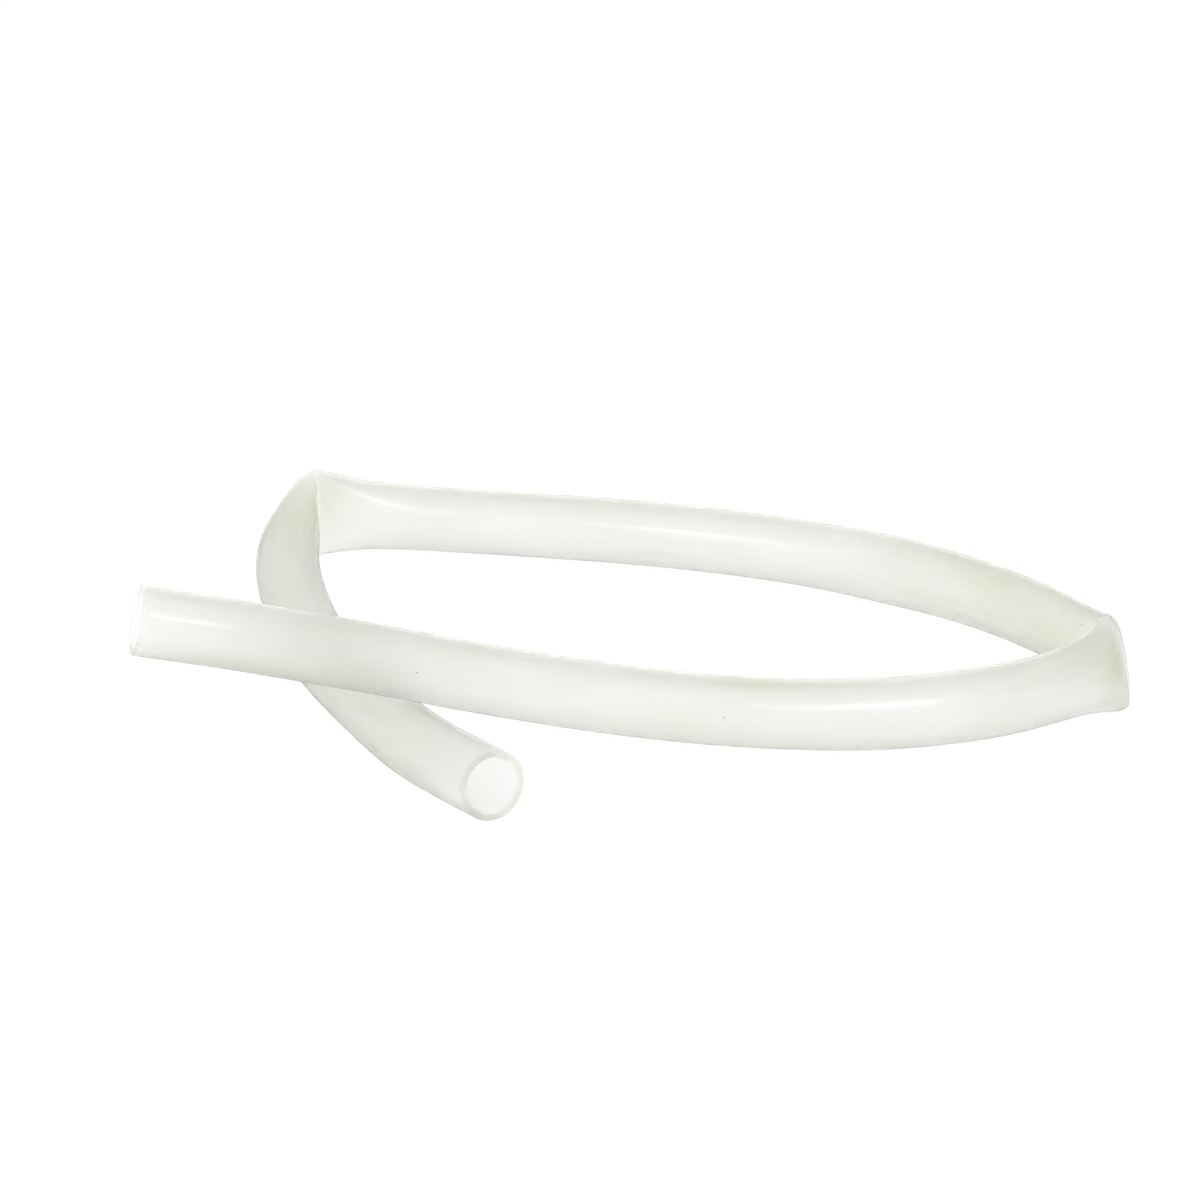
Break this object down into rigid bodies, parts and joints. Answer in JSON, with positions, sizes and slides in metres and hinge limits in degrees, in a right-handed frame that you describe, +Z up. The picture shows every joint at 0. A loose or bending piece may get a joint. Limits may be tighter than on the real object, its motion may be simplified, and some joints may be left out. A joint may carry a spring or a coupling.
{
  "type": "silicone tube",
  "caption": "Thin-walled translucent silicone tube lying in a loose open loop, folded flat at its tight bends, with one leg crossing over the other and its ends cut open.",
  "frame": {"origin": "on the table, under the middle of the loop's bounding box", "axes": "+Z up from the table, +X towards the right-hand fold, +Y towards the left-hand fold, away from the front open end"},
  "size_m": [0.2297, 0.1892, 0.0444],
  "materials": {
    "silicone": "translucent, satin"
  },
  "bodies": {
    "root": {"silicone_tube": "silicone"}
  },
  "joints": []
}
